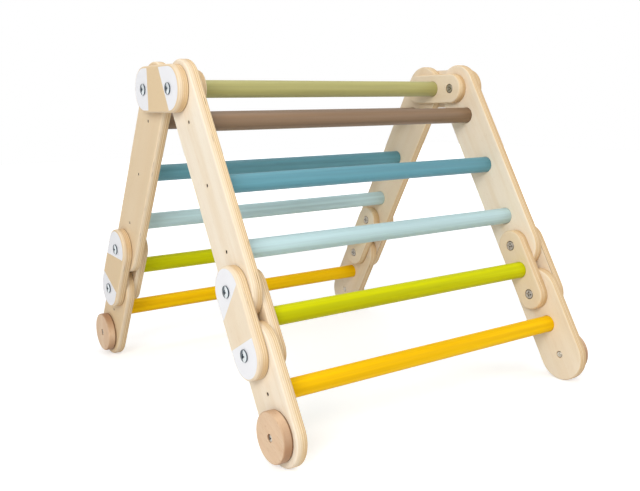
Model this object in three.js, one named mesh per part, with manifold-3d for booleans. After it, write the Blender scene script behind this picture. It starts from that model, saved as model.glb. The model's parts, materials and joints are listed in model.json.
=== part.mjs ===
// Climbing triangle: two ladder legs that hinge on a short apex link, each with a hinged lower end.
// Units are millimetres. X runs along the rungs, the front leg leans towards -Y, the floor is Z = 0.
// A leg's pieces are built hanging straight down from its apex pivot, then the leg swings outwards.
import * as THREE from "three";
import { mergeVertices } from "three/addons/utils/BufferGeometryUtils.js";
import Module from "manifold-3d";

const wasm = await Module();
wasm.setup();

// Driving sizes of the frame
const LEG_ANGLE = THREE.MathUtils.degToRad(30); // each leg's lean from the vertical
const INNER_WIDTH = 590; // between the inner faces of the left and right rails

// Driving sizes of the boards, which all have fully rounded ends
const RAIL_WIDTH = 92;
const RAIL_THICKNESS = 18;
const OUTER_PLATE_WIDTH = 76;
const OUTER_PLATE_THICKNESS = 18;
const INNER_PLATE_WIDTH = 58;
const INNER_PLATE_THICKNESS = 18;
const RAIL_END_GAP = 6; // between the rounded ends of two boards that meet in a link
const LAYER_GAP = 0.3; // between boards that lie on each other

// Driving sizes of the rungs
const RUNG_DIAMETER = 30;
const RUNG_TO_PLATE = 17; // from a rung to the rounded end of the next inner plate
const RUNG_SEAT_DEPTH = 10; // blind bore that holds a rung's end
const RUNG_CLEARANCE = 0.3; // round the rung and behind its end
const SCREW_HEAD_HOLE_DIAMETER = 6; // lets in the head of the screw that holds a rung's end
const SCREW_HEAD_HOLE_DEPTH = 3;
const SCREW_SHANK_HOLE_DIAMETER = 3;

// Driving sizes of the foot discs
const DISC_DIAMETER = 76;
const DISC_THICKNESS = 16;
const RUNG_TO_DISC = 7; // along the leg, from the last rung to the disc's rim
const RAIL_BEYOND_DISC = 10; // the foot's rounded end passes the disc's rim

// Driving sizes of the connector bolts with their sleeve nuts. Head, crown, sleeve and flange are
// diameters: the head rises straight for its rim and then slopes in to its flat crown.
const PIVOT_BOLT = { head: 19, crown: 8, height: 3, rim: 2, sleeve: 10, flange: 17.5 };
const DISC_BOLT = { head: 11, crown: 8.4, height: 2.5, rim: 1.9, sleeve: 8, flange: 11.5 };
const DISC_HEAD_RECESS = 1; // a disc's bolt head lies this far below the disc's face
const HEAD_ROOM = 0.5; // between that head's rim and its counterbore's wall
const SHANK_DIAMETER = 6;
const SHANK_IN_SLEEVE = 26;
const SLEEVE_END_GAP = 1; // from the sleeve's end to the bolt's head
const SLEEVE_SPARE_DEPTH = 3; // the sleeve's bore beyond the shank's tip
const FLANGE_HEIGHT = 2.5;
const FLANGE_ROOM = 0.5; // between a flush flange's rim and its counterbore's wall
const SEAT_GAP = 0.3; // under a head or a flange
const PIN_CLEARANCE = 0.3; // round a sleeve in its bore and a shank in its sleeve

// Round stretches
const ARC_SEGMENTS = 18; // in a board's rounded end
const RUNG_SEGMENTS = 24;
const DISC_SEGMENTS = 36;
const BORE_SEGMENTS = 12;
const SCREW_HOLE_SEGMENTS = 8;

// Sizes that follow
const PIVOT_SPACING = RAIL_WIDTH + RAIL_END_GAP;
const RUNG_PITCH = (PIVOT_SPACING + INNER_PLATE_WIDTH + RUNG_DIAMETER) / 2 + RUNG_TO_PLATE;
const RAIL_FACE = INNER_WIDTH / 2; // a rail's inner face, from the middle
const RAIL_OUTSIDE = RAIL_FACE + RAIL_THICKNESS;
const INNER_PLATE_FACE = RAIL_FACE - LAYER_GAP - INNER_PLATE_THICKNESS;
const OUTER_PLATE_FACE = RAIL_OUTSIDE + LAYER_GAP;
const OUTER_PLATE_OUTSIDE = OUTER_PLATE_FACE + OUTER_PLATE_THICKNESS;
const DISC_OUTSIDE = OUTER_PLATE_FACE + DISC_THICKNESS;
const BOLT_UNDERSIDE = OUTER_PLATE_OUTSIDE + SEAT_GAP;
const DISC_BOLT_UNDERSIDE = DISC_OUTSIDE - DISC_HEAD_RECESS - DISC_BOLT.height;
const SLEEVE_END = BOLT_UNDERSIDE - SLEEVE_END_GAP;
const SHANK_TIP = SLEEVE_END - SHANK_IN_SLEEVE;
const CUT_OVERRUN = 1; // a cutter passes a face by this much

// Places along a leg, measured down it from the apex pivot
const RAIL_RUNGS = [1, 2, 3].map((count) => count * RUNG_PITCH - PIVOT_SPACING / 2);
const LINK_MIDDLE = RAIL_RUNGS.at(-1) + RUNG_PITCH;
const UPPER_PIVOT = LINK_MIDDLE - PIVOT_SPACING / 2;
const LOWER_PIVOT = LINK_MIDDLE + PIVOT_SPACING / 2;
const FOOT_RUNG = LINK_MIDDLE + RUNG_PITCH;
const DISC_MIDDLE = FOOT_RUNG + RUNG_DIAMETER / 2 + RUNG_TO_DISC + DISC_DIAMETER / 2;
const FOOT_ROUND = DISC_MIDDLE + DISC_DIAMETER / 2 + RAIL_BEYOND_DISC - RAIL_WIDTH / 2;
const PIVOT_HEIGHT = FOOT_ROUND * Math.cos(LEG_ANGLE) + RAIL_WIDTH / 2;

// Materials
const finish = (color, roughness, metalness) =>
  new THREE.MeshStandardMaterial({ color, roughness, metalness });
const birchPlywood = () => finish(0xe9d9bd, 0.55, 0);
const beech = () => finish(0xe0bd95, 0.55, 0);
const zinc = () => finish(0xc9ccd0, 0.3, 1);
const paint = (color) => finish(color, 0.4, 0);
const APEX_RUNG_COLOUR = 0xb1ad6b;
const RAIL_RUNG_COLOURS = [0x91745f, 0x5893a5, 0xb4d3da];
const LINK_RUNG_COLOUR = 0xc6d21a;
const FOOT_RUNG_COLOUR = 0xf8bb0c;

// The left and right ends of the object
const ENDS = [
  { end: "left", side: -1 },
  { end: "right", side: 1 },
];

const triangle = new THREE.Group();

function add(group, name, geometry, surface) {
  const mesh = new THREE.Mesh(geometry, surface);
  mesh.name = name;
  group.add(mesh);
}

// A closed geometry as a solid that can be cut
function solid(geometry) {
  const bare = geometry.clone();
  bare.deleteAttribute("normal");
  bare.deleteAttribute("uv");
  const merged = mergeVertices(bare, 1e-4);
  const vertProperties = new Float32Array(merged.attributes.position.array);
  const triVerts = new Uint32Array(merged.index.array);
  return new wasm.Manifold(new wasm.Mesh({ numProp: 3, vertProperties, triVerts }));
}

// A cylinder along X on one side of the middle, between two distances from the middle
function cylinder(side, { z, diameter, from, to, segments }) {
  const geometry = new THREE.CylinderGeometry(diameter / 2, diameter / 2, to - from, segments);
  geometry.rotateZ(Math.PI / 2);
  geometry.translate((side * (from + to)) / 2, 0, z);
  return geometry;
}

function cutBores(blank, side, bores) {
  const body = bores.reduce(
    (rest, bore) => rest.subtract(solid(cylinder(side, bore))),
    solid(blank),
  );
  const mesh = body.getMesh();
  const geometry = new THREE.BufferGeometry();
  geometry.setAttribute("position", new THREE.BufferAttribute(mesh.vertProperties, 3));
  geometry.setIndex(new THREE.BufferAttribute(mesh.triVerts, 1));
  const faceted = geometry.toNonIndexed();
  faceted.computeVertexNormals();
  return faceted;
}

// A board with rounded ends, centred on the heights top and bottom
function board(side, { inside, thickness, width, top, bottom }, bores) {
  const outline = new THREE.Shape();
  outline.absarc(0, top, width / 2, 0, Math.PI, false);
  outline.absarc(0, bottom, width / 2, Math.PI, 2 * Math.PI, false);
  const blank = new THREE.ExtrudeGeometry(outline, {
    depth: thickness,
    bevelEnabled: false,
    curveSegments: ARC_SEGMENTS / 2, // an arc gets two segments for each of these
  });
  // The outline's x, y and depth become the board's Y, Z and X
  blank.applyMatrix4(new THREE.Matrix4().set(0, 0, 1, 0, 1, 0, 0, 0, 0, 1, 0, 0, 0, 0, 0, 1));
  blank.translate(side > 0 ? inside : -inside - thickness, 0, 0);
  return cutBores(blank, side, bores);
}

// Bores of a board
const pinBore = ({ sleeve }, z, inside, outside) => ({
  z,
  diameter: sleeve + 2 * PIN_CLEARANCE,
  from: inside - CUT_OVERRUN,
  to: outside + CUT_OVERRUN,
  segments: BORE_SEGMENTS,
});
const flangeBore = ({ flange }, z, inside) => ({
  z,
  diameter: flange + 2 * FLANGE_ROOM,
  from: inside - CUT_OVERRUN,
  to: inside + FLANGE_HEIGHT + SEAT_GAP,
  segments: BORE_SEGMENTS,
});
const discHeadBore = (z) => ({
  z,
  diameter: DISC_BOLT.head + 2 * HEAD_ROOM,
  from: DISC_BOLT_UNDERSIDE - SEAT_GAP,
  to: DISC_OUTSIDE + CUT_OVERRUN,
  segments: BORE_SEGMENTS,
});
const rungSeat = (z, inside, outside) => [
  {
    z,
    diameter: RUNG_DIAMETER + 2 * RUNG_CLEARANCE,
    from: inside - CUT_OVERRUN,
    to: inside + RUNG_SEAT_DEPTH,
    segments: RUNG_SEGMENTS,
  },
  {
    z,
    diameter: SCREW_SHANK_HOLE_DIAMETER,
    from: inside,
    to: outside,
    segments: SCREW_HOLE_SEGMENTS,
  },
  {
    z,
    diameter: SCREW_HEAD_HOLE_DIAMETER,
    from: outside - SCREW_HEAD_HOLE_DEPTH,
    to: outside + CUT_OVERRUN,
    segments: SCREW_HOLE_SEGMENTS,
  },
];

// A rung seated in two boards whose inner faces are at the given distance from the middle
function rung(z, inside) {
  const half = inside + RUNG_SEAT_DEPTH - RUNG_CLEARANCE;
  return cylinder(1, { z, diameter: RUNG_DIAMETER, from: -half, to: half, segments: RUNG_SEGMENTS });
}

// A turned piece on an axis along X: each profile point is [distance from the middle, radius]
function turned(side, z, profile) {
  const points = profile.map(([distance, radius]) => new THREE.Vector2(radius, distance));
  const geometry = new THREE.LatheGeometry(points, BORE_SEGMENTS);
  geometry.rotateZ((-side * Math.PI) / 2);
  geometry.translate(0, 0, z);
  return geometry;
}

const headProfile = ({ head, crown, height, rim }, underside) => [
  [underside, head / 2],
  [underside + rim, head / 2],
  [underside + height, crown / 2],
  [underside + height, 0],
];
const flangeProfile = ({ flange, sleeve }, inside) => [
  [inside, 0],
  [inside, flange / 2],
  [inside + FLANGE_HEIGHT, flange / 2],
  [inside + FLANGE_HEIGHT, sleeve / 2],
];

function bolt(side, z) {
  return turned(side, z, [
    [SHANK_TIP, 0],
    [SHANK_TIP, SHANK_DIAMETER / 2],
    [BOLT_UNDERSIDE, SHANK_DIAMETER / 2],
    ...headProfile(PIVOT_BOLT, BOLT_UNDERSIDE),
  ]);
}

function sleeveNut(side, z) {
  const boreRadius = SHANK_DIAMETER / 2 + PIN_CLEARANCE;
  return turned(side, z, [
    ...flangeProfile(PIVOT_BOLT, INNER_PLATE_FACE),
    [SLEEVE_END, PIVOT_BOLT.sleeve / 2],
    [SLEEVE_END, boreRadius],
    [SHANK_TIP - SLEEVE_SPARE_DEPTH, boreRadius],
    [SHANK_TIP - SLEEVE_SPARE_DEPTH, 0],
  ]);
}

// A bolt with its sleeve nut screwed tight, as one piece
function boltWithNut(fastener, side, z, inside, underside) {
  return turned(side, z, [
    ...flangeProfile(fastener, inside),
    [underside, fastener.sleeve / 2],
    ...headProfile(fastener, underside),
  ]);
}

// Two outer and two inner plates round a pair of pivots, with the rung that joins the inner plates
function plates(group, name, middle, rungColour) {
  const top = middle + PIVOT_SPACING / 2;
  const bottom = middle - PIVOT_SPACING / 2;
  const outer = {
    inside: OUTER_PLATE_FACE,
    thickness: OUTER_PLATE_THICKNESS,
    width: OUTER_PLATE_WIDTH,
    top,
    bottom,
  };
  const inner = {
    inside: INNER_PLATE_FACE,
    thickness: INNER_PLATE_THICKNESS,
    width: INNER_PLATE_WIDTH,
    top,
    bottom,
  };
  const innerOutside = INNER_PLATE_FACE + INNER_PLATE_THICKNESS;
  for (const { end, side } of ENDS) {
    const outerBores = [top, bottom].map((z) =>
      pinBore(PIVOT_BOLT, z, OUTER_PLATE_FACE, OUTER_PLATE_OUTSIDE),
    );
    const innerBores = [top, bottom].flatMap((z) => [
      pinBore(PIVOT_BOLT, z, INNER_PLATE_FACE, innerOutside),
      flangeBore(PIVOT_BOLT, z, INNER_PLATE_FACE),
    ]);
    innerBores.push(...rungSeat(middle, INNER_PLATE_FACE, innerOutside));
    add(group, `${name}_plate_outer_${end}`, board(side, outer, outerBores), birchPlywood());
    add(group, `${name}_plate_inner_${end}`, board(side, inner, innerBores), birchPlywood());
  }
  add(group, `${name}_rung`, rung(middle, INNER_PLATE_FACE), paint(rungColour));
}

// The apex link lies level between the two legs
function apex() {
  const group = new THREE.Group();
  group.position.z = PIVOT_HEIGHT;
  group.rotation.x = Math.PI / 2;
  plates(group, "apex", 0, APEX_RUNG_COLOUR);
  for (const { end, side } of ENDS) {
    for (const [leg, z] of [["front", PIVOT_SPACING / 2], ["rear", -PIVOT_SPACING / 2]]) {
      const piece = boltWithNut(PIVOT_BOLT, side, z, INNER_PLATE_FACE, BOLT_UNDERSIDE);
      add(group, `apex_bolt_${leg}_${end}`, piece, zinc());
    }
  }
  triangle.add(group);
}

// Upper part of a leg: two rails and the rungs between them
function rails(group, leg) {
  const rail = {
    inside: RAIL_FACE,
    thickness: RAIL_THICKNESS,
    width: RAIL_WIDTH,
    top: 0,
    bottom: -UPPER_PIVOT,
  };
  for (const { end, side } of ENDS) {
    const bores = [
      pinBore(PIVOT_BOLT, 0, RAIL_FACE, RAIL_OUTSIDE),
      pinBore(PIVOT_BOLT, -UPPER_PIVOT, RAIL_FACE, RAIL_OUTSIDE),
      ...RAIL_RUNGS.flatMap((place) => rungSeat(-place, RAIL_FACE, RAIL_OUTSIDE)),
    ];
    add(group, `${leg}_rail_${end}`, board(side, rail, bores), birchPlywood());
  }
  RAIL_RUNGS.forEach((place, index) => {
    const colour = RAIL_RUNG_COLOURS[index];
    add(group, `${leg}_rung_${index + 1}`, rung(-place, RAIL_FACE), paint(colour));
  });
}

// Lower link of a leg, with a bolt and a sleeve nut at each pivot
function lowerLink(group, leg) {
  plates(group, `${leg}_link`, -LINK_MIDDLE, LINK_RUNG_COLOUR);
  for (const { end, side } of ENDS) {
    for (const [level, place] of [["upper", UPPER_PIVOT], ["lower", LOWER_PIVOT]]) {
      add(group, `${leg}_link_bolt_${level}_${end}`, bolt(side, -place), zinc());
      add(group, `${leg}_link_nut_${level}_${end}`, sleeveNut(side, -place), zinc());
    }
  }
}

// Foot of a leg: two short boards, a rung, and a disc bolted to each board's outer face
function foot(group, leg) {
  const footBoard = {
    inside: RAIL_FACE,
    thickness: RAIL_THICKNESS,
    width: RAIL_WIDTH,
    top: -LOWER_PIVOT,
    bottom: -FOOT_ROUND,
  };
  const disc = {
    z: -DISC_MIDDLE,
    diameter: DISC_DIAMETER,
    from: OUTER_PLATE_FACE,
    to: DISC_OUTSIDE,
    segments: DISC_SEGMENTS,
  };
  for (const { end, side } of ENDS) {
    const footBores = [
      pinBore(PIVOT_BOLT, -LOWER_PIVOT, RAIL_FACE, RAIL_OUTSIDE),
      pinBore(DISC_BOLT, -DISC_MIDDLE, RAIL_FACE, RAIL_OUTSIDE),
      flangeBore(DISC_BOLT, -DISC_MIDDLE, RAIL_FACE),
      ...rungSeat(-FOOT_RUNG, RAIL_FACE, RAIL_OUTSIDE),
    ];
    const discBores = [
      pinBore(DISC_BOLT, -DISC_MIDDLE, OUTER_PLATE_FACE, DISC_OUTSIDE),
      discHeadBore(-DISC_MIDDLE),
    ];
    const discBolt = boltWithNut(DISC_BOLT, side, -DISC_MIDDLE, RAIL_FACE, DISC_BOLT_UNDERSIDE);
    add(group, `${leg}_foot_${end}`, board(side, footBoard, footBores), birchPlywood());
    add(group, `${leg}_foot_disc_${end}`, cutBores(cylinder(side, disc), side, discBores), beech());
    add(group, `${leg}_foot_bolt_${end}`, discBolt, zinc());
  }
  add(group, `${leg}_foot_rung`, rung(-FOOT_RUNG, RAIL_FACE), paint(FOOT_RUNG_COLOUR));
}

// A leg hangs from its apex pivot and swings out to its own side
function leg(name, side) {
  const group = new THREE.Group();
  group.position.set(0, (side * PIVOT_SPACING) / 2, PIVOT_HEIGHT);
  group.rotation.x = side * LEG_ANGLE;
  rails(group, name);
  lowerLink(group, name);
  foot(group, name);
  triangle.add(group);
}

apex();
leg("front", -1);
leg("rear", 1);

export default triangle;
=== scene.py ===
"""Climbing triangle: rounded plywood boards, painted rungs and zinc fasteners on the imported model.

Lengths are in metres, and the object's are written as a number of millimetres times MM. X runs along
the rungs, the front leg leans towards -Y and the floor is Z = 0. Places come from the model's joints
and nodes.
"""
import json
import math
import random
from collections import namedtuple

import bmesh
import bpy
from mathutils import Matrix, Vector


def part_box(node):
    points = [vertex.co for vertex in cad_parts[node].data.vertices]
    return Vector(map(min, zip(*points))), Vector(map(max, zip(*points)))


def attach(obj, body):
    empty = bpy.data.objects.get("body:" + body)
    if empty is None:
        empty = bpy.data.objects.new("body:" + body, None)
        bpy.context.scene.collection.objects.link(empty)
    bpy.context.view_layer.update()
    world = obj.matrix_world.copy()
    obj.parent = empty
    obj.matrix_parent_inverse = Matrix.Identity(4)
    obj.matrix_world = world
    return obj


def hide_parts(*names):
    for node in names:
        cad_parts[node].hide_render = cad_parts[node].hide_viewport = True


MM = 0.001
X_AXIS = Vector((1, 0, 0))
Z_AXIS = Vector((0, 0, 1))
ENDS = {"left": -1, "right": 1}
LEGS = ("front", "rear")

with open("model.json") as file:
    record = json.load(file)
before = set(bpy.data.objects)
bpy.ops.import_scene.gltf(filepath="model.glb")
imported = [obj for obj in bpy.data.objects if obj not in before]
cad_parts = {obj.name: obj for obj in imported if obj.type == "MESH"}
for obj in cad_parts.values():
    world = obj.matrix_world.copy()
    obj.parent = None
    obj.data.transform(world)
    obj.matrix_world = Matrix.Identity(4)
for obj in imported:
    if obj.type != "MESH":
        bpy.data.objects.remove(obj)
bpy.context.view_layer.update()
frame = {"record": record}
behaviour = frame["record"]["behaviour"]
joint_place = {joint["name"]: Vector(joint["pos_m"]) for joint in behaviour["joints"]}
body_of_node = {node: body for body, nodes in behaviour["bodies"].items() for node in nodes}
random.seed(11)

# Camera of the photograph: its place, its turn from looking along +Y, its height angle, its roll and its
# focal length in millimetres
CAMERA_PLACE = Vector((-869.93, -1230.94, 508.84)) * MM
CAMERA_AZIMUTH = math.radians(-34.97)
CAMERA_ELEVATION = math.radians(10.17)
CAMERA_ROLL = math.radians(-0.67)
CAMERA_LENS = 44.82

# Boards: free edges, edges that lie on another board, rims of bores, shading and layers
EDGE_ROUND = 4 * MM
HIDDEN_ROUND = 1.5 * MM
ROUND_STEPS = 6
END_SEGMENTS = 40
RIM_BREAK = 0.4 * MM
HOLE_SEGMENTS = 40
SHARP_ANGLE = math.radians(33)
PLY_COUNT = 11

# Tones: 0 is a pale board and 1 a warm one; the boards that aren't listed draw theirs from the range
TONE_RANGE = (0.1, 0.5)
# The listed tones are partly the boards' own colour and partly painted light and shade: boards further
# back are listed darker, and some that lie in shade paler
TONES_AND_SHADE = {
    "front_rail_left": 0.0, "rear_rail_left": 0.8, "front_rail_right": 0.05, "rear_rail_right": 0.45,
    "apex_plate_outer_left": 1.0, "front_link_plate_outer_left": 0.3, "rear_link_plate_outer_left": 1.1,
    "front_link_plate_inner_right": 0.6, "front_foot_left": 0.1, "rear_foot_left": 1.1,
}
# How far apart, at most, two pieces are cut from the endless grain
GRAIN_SHIFT = 9

# White ends of a plate: their borders along it from its middle, the slope of the border at its head,
# the blur of a border and how deep the paint reaches
HEAD_EDGE_OF_PAINT = 31 * MM
HEAD_EDGE_SLOPE = 0.5
TAIL_EDGE_OF_PAINT = -32 * MM
PAINT_BLUR = 0.25 * MM
PAINT_DEPTH = 0.3 * MM

# Edges: the reach and the share of the tint at the outer rim, which is painted light and shade. A
# contact shadow is the dark line of painted shade next to the board that a piece lies on: how far it
# reaches, how far it is full and its share there
PAINTED_LIGHT_RIM_REACH = 10 * MM
PAINTED_LIGHT_RIM_SHARE = 0.45
Seam = namedtuple("Seam", "reach full share")
PLATE_CONTACT_SHADOW = Seam(2.5 * MM, 0.0, 0.75)
DISC_CONTACT_SHADOW = Seam(3.6 * MM, 2.4 * MM, 0.85)

# Bores
PIN_CLEARANCE = 0.3 * MM
RUNG_CLEARANCE = 0.3 * MM
SCREW_HOLE = 3 * MM
SCREW_SHANK_HOLE = 1.5 * MM
HEAD_ROOM = 0.5 * MM
FLANGE_ROOM = 0.5 * MM
SEAT_GAP = 0.3 * MM

# Fasteners: radii and heights of the bolt and sleeve nut at a pivot and at a foot disc, and how
# deep the recess in the nut's flange is
Fastener = namedtuple("Fastener", "head crown height rim sleeve flange flange_recess")
PIVOT_BOLT = Fastener(9.5 * MM, 4 * MM, 3 * MM, 2 * MM, 5 * MM, 8.75 * MM, 2 * MM)
DISC_BOLT = Fastener(5.5 * MM, 4.2 * MM, 2.5 * MM, 1.9 * MM, 4 * MM, 5.75 * MM, 0.8 * MM)
DISC_HEAD_SINK = 1 * MM
FASTENER_SEGMENTS = 48
HEAD_BREAK = 0.3 * MM
SHANK_RADIUS = 3 * MM
SHANK_BREAK = 0.6 * MM
SHANK_START = 9 * MM
SHANK_ROOM = 2 * MM
SLEEVE_BORE = 3.3 * MM
SLEEVE_END_GAP = 1 * MM
SLEEVE_BREAK = 0.4 * MM
FLANGE_HEIGHT = 2.5 * MM
FLANGE_BREAK = 1.1 * MM

# Cross recesses: half the arm's width and the arm's reach as shares of the head's or flange's radius,
# then the share of the depth, of that width and of that reach at each level
RECESS_WIDTH_SHARE = 0.16
HEAD_RECESS_DEPTH = 2.2 * MM
HEAD_RECESS_SHARE = 0.5
FLANGE_RECESS_SHARE = 0.68
RECESS_LEVELS = ((0.0, 1.0, 1.0), (0.5, 0.85, 0.8), (1.0, 0.6, 0.4))

# Rung screws; a recess is half an arm's width and its reach, at the top and at the floor
SCREW_HEAD_RADIUS = 2.8 * MM
SCREW_HEAD_HEIGHT = 2 * MM
SCREW_HEAD_BREAK = 0.1 * MM
SCREW_SINK = 1 * MM
SCREW_SHANK_RADIUS = 1.2 * MM
SCREW_TIP_RADIUS = 0.15 * MM
SCREW_POINT_LENGTH = 4 * MM
SCREW_LENGTH = 34 * MM
SCREW_RECESS_DEPTH = 1.1 * MM
SCREW_RECESS_TOP = (0.45 * MM, 1.5 * MM)
SCREW_RECESS_FLOOR = (0.3 * MM, 0.7 * MM)

# Rungs; the unevenness is a wave, with its radians per metre and the range of its start in radians
RAIL_RUNGS = {1: "rung_brown", 2: "rung_blue", 3: "rung_pale_blue"}
RUNG_SEGMENTS = 64
RUNG_END_BREAK = 0.8 * MM
RUNG_STEPS = 40
RUNG_UNEVENNESS = 0.06 * MM
RUNG_WAVE = 23
RUNG_WAVE_START = 6

# Foot discs; their grain is turned from the leg's direction
DISC_SEGMENTS = 96
DISC_FACE_ROUND = 2.5 * MM
DISC_BACK_ROUND = 2.5 * MM
DISC_GRAIN_TURN = math.radians(-35)

# World: the strength of its light low down and overhead, and the Z of the directions between which it
# changes
AMBIENT_LEVEL = 0.4
AMBIENT_OVERHEAD = 0.42
AMBIENT_RISE = (-0.2, 0.9)

# Floor: its glow near the object, the distances between which that grows to the backdrop's white, its
# grid, how far it lies under the object and its surface
FLOOR_GLOW = 0.5
FLOOR_GLOW_RISE = (0.8, 2.6)
FLOOR_HALF_WIDTH = 6
FLOOR_SQUARES = 8
FLOOR_DROP = 0.2 * MM
FLOOR_ROUGHNESS = 0.9
FLOOR_GLOSS = 0.1

# Each lamp's place, target, size and power
LAMPS = {
    "key": ((-2.2, -1.7, 1.6), (-0.1, 0, 0.3), 1.6, 50),
    "top": ((0.2, -0.2, 2.6), (0, 0, 0.3), 2.0, 16),
    "fill": ((1.6, -2.2, 1.2), (0, 0, 0.3), 1.8, 14),
}


def srgb(red, green, blue):
    """An 8-bit display colour as linear RGBA."""
    def linear(value):
        value /= 255
        return value / 12.92 if value <= 0.04045 else ((value + 0.055) / 1.055) ** 2.4
    return linear(red), linear(green), linear(blue), 1.0


# Plywood: the faces of a pale and a warm board, layers cut along and across their grain, the glue
# between them, the edge of a warm board, a rim darkened by painted shade and the painted contact shadow
# next to another board
PALE_FACE = srgb(246, 234, 214)
WARM_FACE = srgb(226, 200, 160)
PALE_LAYER = srgb(240, 218, 180)
DARK_LAYER = srgb(224, 194, 148)
GLUE_LINE = srgb(176, 128, 82)
WARM_EDGE = srgb(206, 164, 116)
# painted shade on the outer rim of the right boards' edges
RIM_PAINTED_SHADE = srgb(198, 160, 110)
# painted contact shadow: the dark line where a plate or disc lies on a board
CONTACT_SHADOW_COLOUR = srgb(104, 70, 42)

# The plates' paint with its streaks, and the discs' wood along its grain and at the grain's ends
WHITE_PAINT = srgb(240, 240, 243)
PAINT_STREAK = srgb(214, 210, 204)
BEECH_LIGHT = srgb(230, 202, 170)
BEECH_END = srgb(150, 100, 60)

# Each rung's paint and how glossy it is
RUNG_PAINTS = {
    "rung_olive": (srgb(174, 168, 104), 0.4),
    "rung_brown": (srgb(128, 101, 74), 0.45),
    "rung_blue": (srgb(92, 149, 163), 0.4),
    "rung_pale_blue": (srgb(185, 212, 214), 0.4),
    "rung_lime": (srgb(200, 200, 0), 0.08),
    "rung_yellow": (srgb(252, 194, 0), 0.08),
}
# Light and dark bands of a rung's paint, as shares of its colour
LIGHT_BAND = 1.12
DARK_BAND = 0.86

# Each plating's name, its colour as a painted reflection where it faces along X, bright, and where it
# turns away, dark, and its roughness, then how much rougher and darker its clouds are
PLATINGS_AND_REFLECTIONS = {
    "zinc": ("bright_zinc", srgb(226, 232, 234), srgb(70, 82, 90), 0.24),
    "dull_zinc": ("dull_zinc", srgb(212, 206, 196), srgb(124, 115, 104), 0.34),
    "pale_zinc": ("pale_zinc", srgb(232, 228, 216), srgb(166, 156, 142), 0.4),
    "screw": ("dark_screw", srgb(58, 52, 46), srgb(40, 36, 33), 0.5),
}
PLATING_CLOUD_ROUGHNESS = 0.14
PLATING_CLOUD_SHARE = 0.3

# The floor's faint clouds
FLOOR_DARK = srgb(228, 228, 228)
FLOOR_LIGHT = srgb(232, 232, 232)

# Patterns: how often each repeats along, across and through the material per metre, its detail and
# its roughness
Pattern = namedtuple("Pattern", "scale detail roughness")
STREAKS = Pattern((2.5, 38.0, 60.0), 4.0, 0.55)
FIBRES = Pattern((22.0, 900.0, 900.0), 2.0, 0.7)
CROSS_FIBRES = Pattern((900.0, 22.0, 900.0), 2.0, 0.7)
CLOUDS = Pattern((6.0, 14.0, 14.0), 2.0, 0.55)
PORES = Pattern((60.0, 1500.0, 1500.0), 1.0, 0.55)
LAYER_BANDS = Pattern((3.0, 3.0, 160.0), 2.0, 0.55)
FLAWS = Pattern((26.0, 26.0, 420.0), 1.0, 0.55)
BEECH_STREAKS = Pattern((5.0, 55.0, 55.0), 4.0, 0.55)
BEECH_FIBRES = Pattern((40.0, 1200.0, 1200.0), 2.0, 0.7)
BEECH_FLECKS = Pattern((120.0, 900.0, 900.0), 1.0, 0.55)
PAINT_BANDS = Pattern((1.5, 90.0, 90.0), 3.0, 0.55)
PAINT_FIBRES = Pattern((12.0, 900.0, 900.0), 3.0, 0.65)
PLATING_CLOUDS = Pattern((300.0, 300.0, 300.0), 3.0, 0.55)
PLATING_GRAIN = Pattern((3000.0, 3000.0, 3000.0), 2.0, 0.55)
FLOOR_CLOUDS = Pattern((6.0, 6.0, 6.0), 3.0, 0.55)

# Tints: the value where a tint starts and the one where it is full, of a pattern, a facing or a
# distance in layers, with its share there and its colour
Tint = namedtuple("Tint", "start full share colour")
STREAK_TINT = Tint(0.4, 0.7, 0.36, WARM_FACE)
CLOUD_TINT = Tint(0.35, 0.75, 0.12, srgb(214, 182, 140))
PORE_TINT = Tint(0.62, 0.76, 0.3, srgb(196, 158, 112))
CUT_END_TINT = Tint(0.15, 0.85, 1.0, DARK_LAYER)
LAYER_FIBRE_TINT = Tint(0.3, 0.8, 0.2, GLUE_LINE)
GLUE_TINT = Tint(0.1, 0.0, 0.24, GLUE_LINE)
FLAW_TINT = Tint(0.73, 0.79, 0.8, srgb(120, 80, 48))
BEECH_STREAK_TINT = Tint(0.2, 0.8, 1.0, srgb(218, 182, 146))
BEECH_FLECK_TINT = Tint(0.6, 0.75, 0.35, srgb(176, 124, 84))

# Where the other tints start and are full, and their shares
LAYER_BAND_RISE = (0.3, 0.7)
LAYER_BAND_SHARE = 0.4
EDGE_TONE_SHARE = 0.08
PAINT_STREAK_SHARE = 0.05
BEECH_END_SHARE = 0.75
PAINT_BAND_RISE = (0.3, 0.7)
PAINT_FIBRE_RISE = (0.55, 0.8)
PAINT_FIBRE_SHARE = 0.25

# How squarely a surface faces along X where an edge, a painted contact shadow and a face with white
# paint start and are full
EDGE_FACING = (0.95, 0.5)
CONTACT_SHADOW_FACING = (0.9, 0.6)
PAINTED_FACING = (0.97, 0.995)

# Where the plating's painted reflection starts to turn dark and is dark, with painted shade in its
# recesses:
# on steep sides by how squarely they face along X, and on slopes that turn to the rear or far to the
# front by how much they face along Y
STEEP_FACING = (0.9, 0.66)
REAR_FACING = (-0.03, 0.04)
FRONT_FACING = (-0.25, -0.45)

# How high the raised grain stands, the share of its coarser pattern and what paint leaves of it
PLYWOOD_RELIEF = 0.12 * MM
BEECH_RELIEF = 0.1 * MM
PAINT_RELIEF = 0.1 * MM
PLATING_RELIEF = 0.02 * MM
STREAKS_IN_RELIEF = 0.5
BANDS_IN_RELIEF = 0.35
RELIEF_UNDER_PAINT = 0.35

# Roughness between the low and the high fibres, or between bare and painted wood, and gloss
BIRCH_ROUGHNESS = (0.44, 0.58)
PLATE_ROUGHNESS = (0.5, 0.42)
BEECH_ROUGHNESS = (0.46, 0.6)
BAR_ROUGHNESS = (0.4, 0.5)
BIRCH_GLOSS = 0.25
BEECH_GLOSS = 0.35


# Shader graphs

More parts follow.
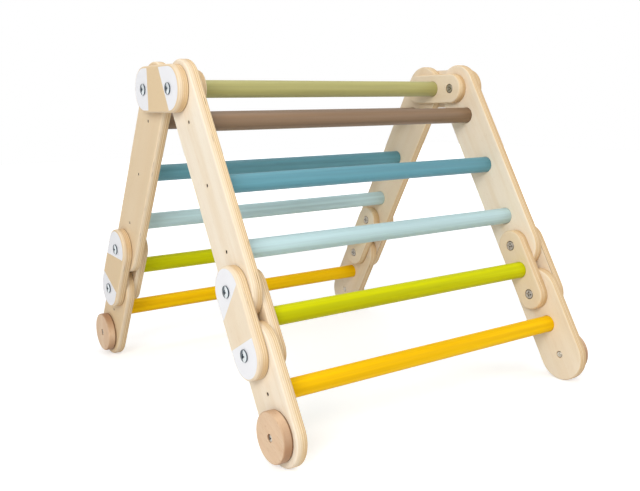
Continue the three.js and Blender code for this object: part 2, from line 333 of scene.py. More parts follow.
class Graph:
    """Adds nodes to a node tree and joins them."""

    def __init__(self, owner):
        owner.use_nodes = True
        self.nodes = owner.node_tree.nodes
        self.links = owner.node_tree.links

    def put(self, socket, value):
        """Links a socket to the input, or sets the input to a plain value."""
        if isinstance(value, bpy.types.NodeSocket):
            self.links.new(value, socket)
        else:
            socket.default_value = value

    def node(self, kind, inputs=(), **settings):
        """A new node; inputs holds the values or the sources of its inputs."""
        made = self.nodes.new(kind)
        for key, value in settings.items():
            setattr(made, key, value)
        for key, value in dict(inputs).items():
            self.put(made.inputs[key], value)
        return made

    def math(self, operation, *values):
        return self.node("ShaderNodeMath", enumerate(values), operation=operation).outputs[0]

    def times(self, first, second):
        return self.math("MULTIPLY", first, second)

    def ramp(self, value, low, high):
        """0 at low, 1 at high, eased between and held beyond."""
        inputs = {"Value": value, "From Min": low, "From Max": high}
        return self.node("ShaderNodeMapRange", inputs, interpolation_type="SMOOTHSTEP").outputs[0]

    def mix(self, share, first, second):
        """The mix of two colours."""
        inputs = {0: share, 6: first, 7: second}
        return self.node("ShaderNodeMix", inputs, data_type="RGBA").outputs[2]

    def tinted(self, colour, value, tint):
        """The colour with a tint over it that follows a value."""
        strength = self.times(self.ramp(value, tint.start, tint.full), tint.share)
        return self.mix(strength, colour, tint.colour)

    def choose(self, share, first, second):
        """The mix of two plain numbers."""
        return self.node("ShaderNodeMix", {0: share, 2: first, 3: second}).outputs[0]

    def attribute(self, name):
        return self.node("ShaderNodeAttribute", attribute_name=name)

    def parts(self, vector):
        return self.node("ShaderNodeSeparateXYZ", {0: vector}).outputs

    def noise(self, place, pattern):
        """The pattern's value at a place."""
        stretched = self.node("ShaderNodeVectorMath", {0: place, 1: pattern.scale}, operation="MULTIPLY")
        inputs = {"Vector": stretched.outputs[0], "Scale": 1.0, "Detail": pattern.detail,
                  "Roughness": pattern.roughness}
        return self.node("ShaderNodeTexNoise", inputs).outputs["Fac"]


class Material(Graph):
    """A material with its Principled shader's inputs set by name."""

    def __init__(self, name):
        self.material = bpy.data.materials.new(name)
        super().__init__(self.material)
        self.surface = self.nodes["Principled BSDF"]

    def set(self, **inputs):
        for key, value in inputs.items():
            self.put(self.surface.inputs[key.replace("_", " ")], value)

    def bump(self, height, distance):
        made = self.node("ShaderNodeBump", {"Height": height, "Strength": 1.0, "Distance": distance})
        self.put(self.surface.inputs["Normal"], made.outputs[0])


# Materials; a board's grain attribute holds a point's place along, across and through the wood

def contact_shadow_share(made, depth, facing_out, contact_shadow):
    """The share of painted contact shadow, a dark line on the edge next to the board that a piece lies
    on; the faces get none.
    """
    near_board = made.times(made.ramp(depth, contact_shadow.reach, contact_shadow.full), contact_shadow.share)
    return made.times(near_board, made.ramp(facing_out, *CONTACT_SHADOW_FACING))


def veneer(made, grain, tone_and_shade, streaks):
    """The colour of a plywood board's faces: streaks, soft clouds and short pores."""
    # tone: the board's own colour, and for listed boards partly painted light and shade
    face = made.mix(tone_and_shade, PALE_FACE, WARM_FACE)
    streaked = made.tinted(face, streaks, STREAK_TINT)
    clouded = made.tinted(streaked, made.noise(grain, CLOUDS), CLOUD_TINT)
    return made.tinted(clouded, made.noise(grain, PORES), PORE_TINT)


def cut_layers(made, grain, facing, thickness, tone_and_shade, fibres):
    """The colour of a plywood board's edges, where every second layer runs crosswise.

    The rim attribute is 1 where painted light pales the edge towards the outer face, on the left boards,
    and 0 where painted shade darkens it, on the right boards.
    """
    depth = made.parts(grain)["Z"]
    layer = made.math("DIVIDE", depth, thickness / PLY_COUNT)
    crossed = made.math("GREATER_THAN", made.math("MODULO", layer, 2.0), 1.0)
    of_layer = made.node("ShaderNodeTexWhiteNoise", {"W": made.math("FLOOR", layer)},
                         noise_dimensions="1D").outputs["Value"]
    cut_end = made.choose(crossed, facing["X"], facing["Y"])
    layer_fibres = made.choose(crossed, fibres, made.noise(grain, CROSS_FIBRES))
    layers = made.tinted(PALE_LAYER, cut_end, CUT_END_TINT)
    worn = made.tinted(layers, layer_fibres, LAYER_FIBRE_TINT)
    bands = made.times(of_layer, made.ramp(made.noise(grain, LAYER_BANDS), *LAYER_BAND_RISE))
    banded = made.mix(made.times(bands, LAYER_BAND_SHARE), worn, GLUE_LINE)
    from_glue = made.math("PINGPONG", layer, 0.5)
    glued = made.tinted(banded, from_glue, GLUE_TINT)
    flawed = made.tinted(glued, made.noise(grain, FLAWS), FLAW_TINT)
    toned = made.mix(made.times(tone_and_shade, EDGE_TONE_SHARE), flawed, WARM_EDGE)
    # painted light and shade: the edge near the outer face is paler on the left boards and darker on the
    # right
    near_outside = made.ramp(depth, thickness - PAINTED_LIGHT_RIM_REACH, thickness - EDGE_ROUND)
    painted_light_rim = made.mix(made.attribute("rim").outputs["Fac"], RIM_PAINTED_SHADE, PALE_FACE)
    return made.mix(made.times(near_outside, PAINTED_LIGHT_RIM_SHARE), toned, painted_light_rim)


def paint_share(made, depth, facing_out, thickness):
    """1 on both ends of a plate's outer face; plate holds a point's place along and across the plate."""
    along, across, _ = made.parts(made.attribute("plate").outputs["Vector"])
    border = made.math("MULTIPLY_ADD", across, -HEAD_EDGE_SLOPE, HEAD_EDGE_OF_PAINT)
    at_head = made.ramp(made.math("SUBTRACT", along, border), -PAINT_BLUR, PAINT_BLUR)
    at_tail = made.ramp(along, TAIL_EDGE_OF_PAINT + PAINT_BLUR, TAIL_EDGE_OF_PAINT - PAINT_BLUR)
    on_face = made.times(made.ramp(facing_out, *PAINTED_FACING),
                         made.math("GREATER_THAN", depth, thickness - PAINT_DEPTH))
    return made.times(made.math("MAXIMUM", at_head, at_tail), on_face)


def birch_plywood(name, thickness, painted):
    """Lacquered plywood; with painted set, it has white ends and a dark line of painted shade round its
    inner face.
    """
    made = Material(name)
    grain = made.attribute("grain").outputs["Vector"]
    depth = made.parts(grain)["Z"]
    facing = made.parts(made.attribute("facing").outputs["Vector"])
    facing_out = facing["Z"]
    tone_and_shade = made.attribute("tone_and_shade").outputs["Fac"]
    streaks, fibres = made.noise(grain, STREAKS), made.noise(grain, FIBRES)
    wood = made.mix(made.ramp(facing_out, *EDGE_FACING), veneer(made, grain, tone_and_shade, streaks),
                    cut_layers(made, grain, facing, thickness, tone_and_shade, fibres))
    relief = made.choose(STREAKS_IN_RELIEF, fibres, streaks)
    if painted:
        # painted shade: a dark line on the plate's edge next to the board that it lies on
        wood = made.mix(contact_shadow_share(made, depth, facing_out, PLATE_CONTACT_SHADOW), wood, CONTACT_SHADOW_COLOUR)
        white = made.mix(made.times(streaks, PAINT_STREAK_SHARE), WHITE_PAINT, PAINT_STREAK)
        paint = paint_share(made, depth, facing_out, thickness)
        wood = made.mix(paint, wood, white)
        relief = made.times(relief, made.choose(paint, 1.0, RELIEF_UNDER_PAINT))
        made.set(Roughness=made.choose(paint, *PLATE_ROUGHNESS))
    else:
        made.set(Roughness=made.choose(fibres, *BIRCH_ROUGHNESS))
    made.set(Base_Color=wood, Specular_IOR_Level=BIRCH_GLOSS)
    made.bump(relief, PLYWOOD_RELIEF)
    return made.material


def beech(name):
    """Solid wood with short darker flecks and a dark line of painted shade next to the board; its rim
    shows the grain's ends at two sides.
    """
    made = Material(name)
    grain = made.attribute("grain").outputs["Vector"]
    depth = made.parts(grain)["Z"]
    facing_along, _, facing_out = made.parts(made.attribute("facing").outputs["Vector"])
    streaks, fibres = made.noise(grain, BEECH_STREAKS), made.noise(grain, BEECH_FIBRES)
    body = made.tinted(BEECH_LIGHT, streaks, BEECH_STREAK_TINT)
    with_ends = made.mix(made.times(facing_along, BEECH_END_SHARE), body, BEECH_END)
    flecked = made.tinted(with_ends, made.noise(grain, BEECH_FLECKS), BEECH_FLECK_TINT)
    # painted shade: a dark line on the disc's rim next to the foot board
    shadowed = made.mix(contact_shadow_share(made, depth, facing_out, DISC_CONTACT_SHADOW), flecked, CONTACT_SHADOW_COLOUR)
    made.set(Base_Color=shadowed, Roughness=made.choose(fibres, *BEECH_ROUGHNESS),
             Specular_IOR_Level=BEECH_GLOSS)
    made.bump(made.choose(STREAKS_IN_RELIEF, fibres, streaks), BEECH_RELIEF)
    return made.material


def painted_bar(name, colour, gloss):
    """Paint in light and dark bands along a bar, a little lighter along the raised fibres."""
    made = Material(name)
    grain = made.attribute("grain").outputs["Vector"]
    bands, fibres = made.noise(grain, PAINT_BANDS), made.noise(grain, PAINT_FIBRES)
    light = tuple(min(1.0, channel * LIGHT_BAND) for channel in colour[:3]) + (1.0,)
    dark = tuple(channel * DARK_BAND for channel in colour[:3]) + (1.0,)
    banded = made.tinted(dark, bands, Tint(*PAINT_BAND_RISE, 1.0, light))
    fibrous = made.tinted(banded, fibres, Tint(*PAINT_FIBRE_RISE, PAINT_FIBRE_SHARE, light))
    made.set(Base_Color=fibrous, Roughness=made.choose(fibres, *BAR_ROUGHNESS),
             Specular_IOR_Level=gloss)
    made.bump(made.choose(BANDS_IN_RELIEF, fibres, bands), PAINT_RELIEF)
    return made.material


def zinc(name, bright_reflection, dark_reflection, roughness):
    """Plating with a painted reflection: bright where it faces along X, dark on steep sides, in recesses
    and on turned slopes.
    """
    made = Material(name)
    coordinates = made.node("ShaderNodeTexCoord").outputs
    place, facing = coordinates["Object"], made.parts(coordinates["Normal"])
    # painted reflection and shade: steep sides, recess walls and turned slopes take the dark colour
    steep = made.ramp(made.math("ABSOLUTE", facing["X"]), *STEEP_FACING)
    turned_away = made.math("MAXIMUM", made.ramp(facing["Y"], *REAR_FACING),
                            made.ramp(facing["Y"], *FRONT_FACING))
    painted_reflection = made.mix(made.math("MAXIMUM", steep, turned_away), bright_reflection, dark_reflection)
    clouds = made.noise(place, PLATING_CLOUDS)
    made.set(Base_Color=made.mix(made.times(clouds, PLATING_CLOUD_SHARE), painted_reflection, dark_reflection), Metallic=1.0,
             Roughness=made.choose(clouds, roughness, roughness + PLATING_CLOUD_ROUGHNESS))
    made.bump(made.noise(place, PLATING_GRAIN), PLATING_RELIEF)
    return made.material


# Mesh building: every ring lies in a plane of constant X

def spoke(along, angle):
    """The direction at an angle from along, in the plane of a board."""
    return along * math.cos(angle) + X_AXIS.cross(along) * math.sin(angle)


def ring(bm, centre, x, along, count, reach):
    """A loop of vertices round a centre; reach gives the radius at each angle."""
    loop = []
    for index in range(count):
        angle = 2 * math.pi * index / count
        place = centre + spoke(along, angle) * reach(angle)
        loop.append(bm.verts.new((x, place.y, place.z)))
    return loop


def circle(radius):
    """The reach of a circle, the same at each angle."""
    return lambda angle: radius


def cross(half_width, length):
    """The reach of a cross with square ends at each angle."""
    def reach(angle):
        from_arm = (angle + math.pi / 4) % (math.pi / 2) - math.pi / 4
        return min(length / math.cos(from_arm), half_width / max(abs(math.sin(from_arm)), 1e-6))
    return reach


def loft(bm, loops):
    """Quads between each loop and the next."""
    for loop, following in zip(loops, loops[1:]):
        for index in range(len(loop)):
            after = (index + 1) % len(loop)
            bm.faces.new((loop[index], loop[after], following[after], following[index]))


def close(bm, loop):
    """A fan from a loop to its middle."""
    middle = bm.verts.new(sum((vertex.co for vertex in loop), Vector()) / len(loop))
    for index in range(len(loop)):
        bm.faces.new((loop[index], loop[(index + 1) % len(loop)], middle))


def fill(bm, loops, normal):
    """A flat face with the first loop as its outline and the rest as its holes."""
    edges = []
    for loop in loops:
        for index in range(len(loop)):
            pair = (loop[index], loop[(index + 1) % len(loop)])
            edges.append(bm.edges.get(pair) or bm.edges.new(pair))
    bmesh.ops.triangle_fill(bm, use_beauty=True, use_dissolve=False, edges=edges, normal=normal)


def piece_from(bm, name, material, body, nodes=()):
    """Makes the object, shades it smooth between sharp rims and lets it ride on its body."""
    bmesh.ops.recalc_face_normals(bm, faces=bm.faces)
    mesh = bpy.data.meshes.new(name)
    bm.to_mesh(mesh)
    bm.free()
    mesh.polygons.foreach_set("use_smooth", [True] * len(mesh.polygons))
    mesh.set_sharp_from_angle(angle=SHARP_ANGLE)
    mesh.materials.append(material)
    piece = bpy.data.objects.new(name, mesh)
    bpy.context.scene.collection.objects.link(piece)
    piece.modifiers.new("even_faces", "WEIGHTED_NORMAL").keep_sharp = True
    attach(piece, body)
    if nodes:
        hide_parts(*nodes)
    return piece


def store_places(mesh, name, place_at):
    """Stores a vector for each vertex under a name that a material reads."""
    places = mesh.attributes.new(name, "FLOAT_VECTOR", "POINT")
    for vertex in mesh.vertices:
        places.data[vertex.index].vector = place_at(vertex.co)


def mark_grain(mesh, origin, along, inside, side, tone_and_shade):
    """Stores what the woods read: places in the grain, facing, tone with its painted light and shade,
    and rim; the rim is painted light on the left boards and painted shade on the right.
    """
    across = X_AXIS.cross(along)
    shift = Vector([random.uniform(0, GRAIN_SHIFT) for _ in range(2)])

    def place_in_grain(point):
        offset = point - origin
        return offset.dot(along) + shift.x, offset.dot(across) + shift.y, side * point.x - inside

    store_places(mesh, "grain", place_in_grain)
    facing = mesh.attributes.new("facing", "FLOAT_VECTOR", "CORNER")
    for corner, stored in enumerate(mesh.corner_normals):
        normal = stored.vector
        facing.data[corner].vector = (abs(normal.dot(along)), abs(normal.dot(across)), abs(normal.x))
    # the rim is painted light on the left boards and painted shade on the right
    for key, value in (("tone_and_shade", tone_and_shade), ("rim", 0.0 if side > 0 else 1.0)):
        same_everywhere = mesh.attributes.new(key, "FLOAT", "POINT")
        same_everywhere.data.foreach_set("value", [value] * len(mesh.vertices))


def place_of(node):
    """The middle of the node's box, seen along X."""
    low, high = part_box(node)
    middle = (low + high) / 2
    return Vector((0, middle.y, middle.z))


def side_of(node):
    """1 for a node on the right and -1 for one on the left."""
    return 1 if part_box(node)[1].x > 0 else -1


def reach_of(node):
    """The node's least and greatest distance from the middle of the object."""
    low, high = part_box(node)
    return min(abs(low.x), abs(high.x)), max(abs(low.x), abs(high.x))


def radius_of(node):
    """The radius of a round node, such as a rung or a disc."""
    low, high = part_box(node)
    return (high.z - low.z) / 2


def end_radius(node, start, end):
    """The radius of a board's round ends, from their centres and the height of its box."""
    low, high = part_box(node)
    return (high.z - low.z - abs(start.z - end.z)) / 2


# Bores of a board: a place and the (depth, radius) of its rings, from the inner face out

def pin_bore(place, thickness, fastener=PIVOT_BOLT, flange=False):
    """A bore for a sleeve, with a counterbore at the inner face where the nut's flange sits."""
    bore = fastener.sleeve + PIN_CLEARANCE
    start = [(0, bore + RIM_BREAK), (RIM_BREAK, bore)]
    if flange:
        room = fastener.flange + FLANGE_ROOM
        floor = FLANGE_HEIGHT + SEAT_GAP
        start = [(0, room + RIM_BREAK), (RIM_BREAK, room), (floor, room), (floor, bore)]
    finish = [(thickness - RIM_BREAK, bore), (thickness, bore + RIM_BREAK)]
    return place, start + finish


def rung_seat(rung, board_node, thickness):
    """A blind bore for a rung's end, and the screw's hole from there to the outer face."""
    radius = radius_of(rung) + RUNG_CLEARANCE
    depth = reach_of(rung)[1] + RUNG_CLEARANCE - reach_of(board_node)[0]
    screw_seat = thickness - SCREW_SINK
    profile = [(0, radius + RIM_BREAK), (RIM_BREAK, radius), (depth, radius),
               (depth, SCREW_SHANK_HOLE), (screw_seat - SCREW_HEAD_HEIGHT, SCREW_SHANK_HOLE),
               (screw_seat, SCREW_HOLE), (thickness - RIM_BREAK, SCREW_HOLE),
               (thickness, SCREW_HOLE + RIM_BREAK)]
    return place_of(rung), profile


def outline(bm, start, end, radius, x, along):
    """A loop with half circles round both ends."""
    loop = []
    for centre, first in ((end, -math.pi / 2), (start, math.pi / 2)):
        for step in range(END_SEGMENTS + 1):
            place = centre + spoke(along, first + math.pi * step / END_SEGMENTS) * radius
            loop.append(bm.verts.new((x, place.y, place.z)))
    return loop


def rounding(radius):
    """The rise and the inset of the points along a rounded edge, from its face on."""
    angles = [math.pi / 2 * step / ROUND_STEPS for step in range(ROUND_STEPS + 1)]
    return [(radius * (1 - math.cos(angle)), radius * (1 - math.sin(angle))) for angle in angles]


def board(node, start, end, bores, material, tone_and_shade, rounds=(EDGE_ROUND, EDGE_ROUND), head=None):
    """A plywood board between the centres of its round ends.

    rounds holds the radii of its inner and outer edge. For a plate with paint, head points along it to
    the end with the sloping border.
    """
    inside, outside = reach_of(node)
    side = side_of(node)
    radius = end_radius(node, start, end)
    along = (end - start).normalized()
    bm = bmesh.new()
    levels = [(inside + rise, inset) for rise, inset in rounding(rounds[0])]
    levels += [(outside - rise, inset) for rise, inset in reversed(rounding(rounds[1]))]
    loops = [outline(bm, start, end, radius - inset, side * x, along) for x, inset in levels]
    loft(bm, loops)
    inner_face, outer_face = [loops[0]], [loops[-1]]
    for place, profile in bores:
        rings = [ring(bm, place, side * (inside + depth), along, HOLE_SEGMENTS, circle(bore))
                 for depth, bore in profile]
        loft(bm, rings)
        inner_face.append(rings[0])
        outer_face.append(rings[-1])
    fill(bm, inner_face, -side * X_AXIS)
    fill(bm, outer_face, side * X_AXIS)
    piece = piece_from(bm, f"{node}_board", material, body_of_node[node], [node])
    mark_grain(piece.data, start, along, inside, side, tone_and_shade)
    if head is not None:
        leftward = head.cross(X_AXIS * -side)
        middle = (start + end) / 2

        def place_on_plate(point):
            offset = point - middle
            return offset.dot(head), offset.dot(leftward), 0

        store_places(piece.data, "plate", place_on_plate)


# Turned pieces

def turned(name, place, side, profile, material, body, nodes=()):
    """A piece turned about X: profile holds (distance from the middle, reach), closed at both ends."""
    bm = bmesh.new()
    loops = [ring(bm, place, side * distance, Z_AXIS, FASTENER_SEGMENTS,
                  reach if callable(reach) else circle(reach))
             for distance, reach in profile]
    loft(bm, loops)
    close(bm, loops[0])
    close(bm, loops[-1])
    piece_from(bm, name, material, body, nodes)


def recess(top, depth, radius, share):
    """A cross recess from a round face down to its floor; a negative depth leads to the middle."""
    half_width, reach = RECESS_WIDTH_SHARE * radius, share * radius
    return [(top + level * depth, cross(width_share * half_width, reach_share * reach))
            for level, width_share, reach_share in RECESS_LEVELS]


def head_profile(fastener, top):
    """A head that faces outwards: a straight rim, a low slope to the crown and a recess."""
    head = fastener.head
    underside = top - fastener.height
    shoulder = underside + fastener.rim
    return [
        (underside, head - HEAD_BREAK), (underside + HEAD_BREAK, head),
        (shoulder - HEAD_BREAK, head), (shoulder, head - HEAD_BREAK), (top, fastener.crown),
    ] + recess(top, -HEAD_RECESS_DEPTH, head, HEAD_RECESS_SHARE)


def bolt(name, node, place, side, tip, top, fastener):
    """A shank from its tip out to a head."""
    plating = materials["zinc" if fastener is PIVOT_BOLT else "dull_zinc"]
    profile = [(tip, SHANK_RADIUS - SHANK_BREAK), (tip + SHANK_BREAK, SHANK_RADIUS),
               (top - fastener.height, SHANK_RADIUS)] + head_profile(fastener, top)
    turned(name, place, side, profile, plating, body_of_node[node], [node])


def sleeve_nut(name, node, place, side, face, sleeve_end, bore_floor, fastener):
    """A flange that faces inwards, with a recess, and the sleeve that the pivot turns on."""
    flange, sleeve = fastener.flange, fastener.sleeve
    plating = materials["dull_zinc" if fastener is PIVOT_BOLT else "pale_zinc"]
    profile = recess(face, fastener.flange_recess, flange, FLANGE_RECESS_SHARE)[::-1] + [
        (face, flange - FLANGE_BREAK), (face + FLANGE_BREAK, flange),
        (face + FLANGE_HEIGHT, flange), (face + FLANGE_HEIGHT, sleeve),
        (sleeve_end - SLEEVE_BREAK, sleeve), (sleeve_end, sleeve - SLEEVE_BREAK),
        (sleeve_end, SLEEVE_BORE), (bore_floor, SLEEVE_BORE),
    ]
    turned(name, place, side, profile, plating, body_of_node[node], [node])


def joined_fastener(node, place, side, face, top, fastener):
    """A bolt and the sleeve nut that it is screwed into, which one node stands for."""
    tip = face + SHANK_START
    sleeve_end = top - fastener.height - SLEEVE_END_GAP
    bolt(f"{node}_bolt", node, place, side, tip, top, fastener)
    sleeve_nut(f"{node}_nut", node, place, side, face, sleeve_end, tip - SHANK_ROOM, fastener)


def rung_screw(name, rung, board_node, side, body):
    """A countersunk screw from a board's outer face into the end of a rung."""
    top = reach_of(board_node)[1] - SCREW_SINK
    tip = top - SCREW_LENGTH
    profile = [
        (tip, SCREW_TIP_RADIUS), (tip + SCREW_POINT_LENGTH, SCREW_SHANK_RADIUS),
        (top - SCREW_HEAD_HEIGHT - SEAT_GAP, SCREW_SHANK_RADIUS), (top - SEAT_GAP, SCREW_HEAD_RADIUS),
        (top, SCREW_HEAD_RADIUS - SCREW_HEAD_BREAK), (top, cross(*SCREW_RECESS_TOP)),
        (top - SCREW_RECESS_DEPTH, cross(*SCREW_RECESS_FLOOR)),
    ]
    turned(name, place_of(rung), side, profile, materials["screw"], body)


def rung_bar(node, slot):
    """A painted bar with broken edges at its ends and a hand-finished, slightly uneven surface."""
    half, radius = reach_of(node)[1], radius_of(node)
    place = place_of(node)
    wave = random.uniform(0, RUNG_WAVE_START)
    profile = [(-half, radius - RUNG_END_BREAK)]
    for step in range(RUNG_STEPS + 1):
        x = (half - RUNG_END_BREAK) * (2 * step / RUNG_STEPS - 1)
        profile.append((x, radius - RUNG_UNEVENNESS * (1 + math.sin(wave + RUNG_WAVE * x)) / 2))
    profile.append((half, radius - RUNG_END_BREAK))
    bm = bmesh.new()
    loops = [ring(bm, place, x, Z_AXIS, RUNG_SEGMENTS, circle(reach)) for x, reach in profile]
    loft(bm, loops)
    close(bm, loops[0])
    close(bm, loops[-1])
    bar = piece_from(bm, f"{node}_bar", materials[slot], body_of_node[node], [node])
    shift = Vector([random.uniform(0, GRAIN_SHIFT) for _ in range(3)])
    store_places(bar.data, "grain", lambda point: point - place + shift)


def foot_disc(node, along):
    """A turned disc with a soft outer rim, its bolt's counterbore and the pin's bore."""
    inside, outside = reach_of(node)
    side = side_of(node)
    radius = radius_of(node)
    bore, room = DISC_BOLT.sleeve + PIN_CLEARANCE, DISC_BOLT.head + HEAD_ROOM
    floor = outside - DISC_HEAD_SINK - DISC_BOLT.height - SEAT_GAP
    profile = [(inside, bore)]
    profile += [(inside + rise, radius - inset) for rise, inset in rounding(DISC_BACK_ROUND)]
    profile += [(outside - rise, radius - inset)
                for rise, inset in reversed(rounding(DISC_FACE_ROUND))]
    profile += [(outside, room + RIM_BREAK), (outside - RIM_BREAK, room), (floor, room),
                (floor, bore)]
    bm = bmesh.new()
    place = place_of(node)
    loops = [ring(bm, place, side * distance, along, DISC_SEGMENTS, circle(reach))
             for distance, reach in profile]
    loft(bm, loops + [loops[0]])
    disc = piece_from(bm, f"{node}_turned", materials["beech"], body_of_node[node], [node])
    mark_grain(disc.data, place, spoke(along, DISC_GRAIN_TURN), inside, side, 0)


# Materials of this object
board_thickness = reach_of("front_rail_left")[1] - reach_of("front_rail_left")[0]
materials = {
    "birch": birch_plywood("birch_plywood_lacquered", board_thickness, painted=False),
    "painted": birch_plywood("birch_plywood_with_white_ends", board_thickness, painted=True),
    "beech": beech("beech_lacquered"),
}
for plating_name, plating_values in PLATINGS_AND_REFLECTIONS.items():
    materials[plating_name] = zinc(*plating_values)
for slot_name, (colour, gloss) in RUNG_PAINTS.items():
    materials[slot_name] = painted_bar(f"paint_{slot_name}", colour, gloss)


# Pieces of this object

def tone_and_shade_of(node):
    """A board's listed tone, partly painted light and shade, or else the one that it draws; a listed
    board draws too.
    """
    drawn = random.uniform(*TONE_RANGE)
    return TONES_AND_SHADE.get(node, drawn)


def dress_plates(name, start, end, rung, slot, head_of):
    """The outer and inner plates between two pivots, with the rung between the inner ones."""
    for end_name, side in ENDS.items():
        outer, inner = f"{name}_plate_outer_{end_name}", f"{name}_plate_inner_{end_name}"
        bores = [pin_bore(place, board_thickness) for place in (start, end)]
        board(outer, start, end, bores, materials["painted"], tone_and_shade_of(outer),
              rounds=(HIDDEN_ROUND, EDGE_ROUND), head=head_of[end_name])
        bores = [pin_bore(place, board_thickness, flange=True) for place in (start, end)]
        bores.append(rung_seat(rung, inner, board_thickness))
        board(inner, start, end, bores, materials["birch"], tone_and_shade_of(inner),
              rounds=(EDGE_ROUND, HIDDEN_ROUND))
        rung_screw(f"{name}_rung_screw_{end_name}", rung, inner, side, body_of_node[rung])
    rung_bar(rung, slot)


def dress_apex():
    """The level link at the top, with the bolts that the legs turn on."""
    front, rear = joint_place["front_leg_hinge"], joint_place["rear_leg_hinge"]
    forward = (front - rear).normalized()
    dress_plates("apex", front, rear, "apex_rung", "rung_olive", {"left": forward, "right": -forward})
    for end_name, side in ENDS.items():
        for leg, place in (("front", front), ("rear", rear)):
            node = f"apex_bolt_{leg}_{end_name}"
            face, top = reach_of(node)
            joined_fastener(node, place, side, face, top, PIVOT_BOLT)


def dress_leg(leg):
    """A leg's rails with their three rungs, then its link and its foot."""
    apex, upper = joint_place[f"{leg}_leg_hinge"], joint_place[f"{leg}_link_hinge"]
    lower = joint_place[f"{leg}_foot_hinge"]
    down = (upper - apex).normalized()
    for end_name in ENDS:
        node = f"{leg}_rail_{end_name}"
        bores = [pin_bore(apex, board_thickness), pin_bore(upper, board_thickness)]
        bores += [rung_seat(f"{leg}_rung_{count}", node, board_thickness) for count in RAIL_RUNGS]
        board(node, apex, upper, bores, materials["birch"], tone_and_shade_of(node))
    for count, slot in RAIL_RUNGS.items():
        rung = f"{leg}_rung_{count}"
        rung_bar(rung, slot)
        for end_name, side in ENDS.items():
            rung_screw(f"{rung}_screw_{end_name}", rung, f"{leg}_rail_{end_name}", side,
                       body_of_node[rung])
    dress_plates(f"{leg}_link", upper, lower, f"{leg}_link_rung", "rung_lime",
                 {"left": -down, "right": -down})
    for end_name, side in ENDS.items():
        for level, place in (("upper", upper), ("lower", lower)):
            bolt_node = f"{leg}_link_bolt_{level}_{end_name}"
            nut_node = f"{leg}_link_nut_{level}_{end_name}"
            tip, top = reach_of(bolt_node)
            face, sleeve_end = reach_of(nut_node)
            bolt(f"{bolt_node}_bolt", bolt_node, place, side, tip, top, PIVOT_BOLT)
            sleeve_nut(f"{nut_node}_nut", nut_node, place, side, face, sleeve_end, tip - SHANK_ROOM,
                       PIVOT_BOLT)
    dress_foot(leg, apex, upper, lower, down)


def dress_foot(leg, apex, upper, lower, down):
    """A foot's boards, as wide as the rails, with their discs and the rung between them."""
    rung = f"{leg}_foot_rung"
    disc_place = place_of(f"{leg}_foot_disc_left")
    for end_name, side in ENDS.items():
        node = f"{leg}_foot_{end_name}"
        end_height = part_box(node)[0].z + end_radius(f"{leg}_rail_{end_name}", apex, upper)
        end = lower + down * ((end_height - lower.z) / down.z)
        bores = [pin_bore(lower, board_thickness),
                 pin_bore(disc_place, board_thickness, DISC_BOLT, flange=True),
                 rung_seat(rung, node, board_thickness)]
        board(node, lower, end, bores, materials["birch"], tone_and_shade_of(node))
        foot_disc(f"{leg}_foot_disc_{end_name}", down)
        bolt_node = f"{leg}_foot_bolt_{end_name}"
        face, top = reach_of(bolt_node)
        joined_fastener(bolt_node, disc_place, side, face, top, DISC_BOLT)
        rung_screw(f"{rung}_screw_{end_name}", rung, node, side, body_of_node[rung])
    rung_bar(rung, "rung_yellow")


# Camera, floor, world and lamps

def make_camera():
    """The photograph's camera, rolled about the line that it looks along."""
    data = bpy.data.cameras.new("camera")
    data.lens = CAMERA_LENS
    camera = bpy.data.objects.new("camera", data)
    bpy.context.scene.collection.objects.link(camera)
    turn, height = CAMERA_AZIMUTH, CAMERA_ELEVATION
    back = Vector((math.sin(turn) * math.cos(height), -math.cos(turn) * math.cos(height),
                   math.sin(height)))
    right = Z_AXIS.cross(back).normalized()
    up = back.cross(right)
    rolled_right = right * math.cos(CAMERA_ROLL) + up * math.sin(CAMERA_ROLL)
    rolled_up = up * math.cos(CAMERA_ROLL) - right * math.sin(CAMERA_ROLL)
    axes = Matrix((rolled_right, rolled_up, back)).transposed()
    camera.matrix_world = Matrix.Translation(CAMERA_PLACE) @ axes.to_4x4()
    bpy.context.scene.camera = camera


def seen_white(graph):
    """1 for rays that show the backdrop itself: to the camera, in gloss and through glass."""
    path = graph.node("ShaderNodeLightPath").outputs
    seen = graph.math("MAXIMUM", path["Is Camera Ray"], path["Is Glossy Ray"])
    return graph.math("MAXIMUM", seen, path["Is Transmission Ray"])


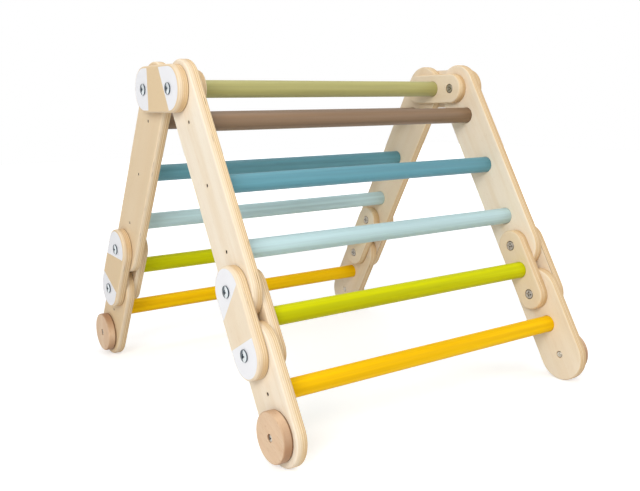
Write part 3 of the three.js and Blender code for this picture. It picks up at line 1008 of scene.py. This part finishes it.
def make_floor():
    """A pale floor that takes the object's shadow and looks as white as the backdrop elsewhere."""
    bm = bmesh.new()
    bmesh.ops.create_grid(bm, x_segments=FLOOR_SQUARES, y_segments=FLOOR_SQUARES, size=FLOOR_HALF_WIDTH)
    mesh = bpy.data.meshes.new("floor")
    bm.to_mesh(mesh)
    bm.free()
    floor = bpy.data.objects.new("floor", mesh)
    floor.location.z = -FLOOR_DROP
    bpy.context.scene.collection.objects.link(floor)
    made = Material("pale_floor")
    place = made.node("ShaderNodeTexCoord").outputs["Object"]
    far = made.node("ShaderNodeVectorMath", {0: place}, operation="LENGTH").outputs["Value"]
    faint = made.noise(place, FLOOR_CLOUDS)
    made.set(Base_Color=made.mix(faint, FLOOR_DARK, FLOOR_LIGHT), Roughness=FLOOR_ROUGHNESS,
             Specular_IOR_Level=FLOOR_GLOSS)
    glow = made.choose(made.ramp(far, *FLOOR_GLOW_RISE), FLOOR_GLOW, 1.0)
    made.set(Emission_Color=(1, 1, 1, 1), Emission_Strength=made.times(glow, seen_white(made)))
    mesh.materials.append(made.material)


def make_world():
    """Even light that grows a little overhead, with a white backdrop."""
    world = bpy.data.worlds.new("studio")
    bpy.context.scene.world = world
    graph = Graph(world)
    background = graph.nodes["Background"]
    background.inputs["Color"].default_value = (1, 1, 1, 1)
    direction = graph.node("ShaderNodeTexCoord").outputs["Generated"]
    overhead = graph.ramp(graph.parts(direction)["Z"], *AMBIENT_RISE)
    light = graph.choose(overhead, AMBIENT_LEVEL, AMBIENT_OVERHEAD)
    graph.put(background.inputs["Strength"], graph.choose(seen_white(graph), light, 1.0))


def make_lamp(name, place, target, size, power):
    """A round soft lamp that faces its target."""
    data = bpy.data.lights.new(name, "AREA")
    data.shape = "DISK"
    data.size = size
    data.energy = power
    light = bpy.data.objects.new(name, data)
    light.location = place
    light.rotation_euler = (Vector(target) - Vector(place)).to_track_quat("-Z", "Y").to_euler()
    bpy.context.scene.collection.objects.link(light)


dress_apex()
for leg_name in LEGS:
    dress_leg(leg_name)
make_camera()
make_floor()
make_world()
for lamp_name, lamp_values in LAMPS.items():
    make_lamp(lamp_name, *lamp_values)
bpy.context.scene.view_settings.view_transform = "Standard"
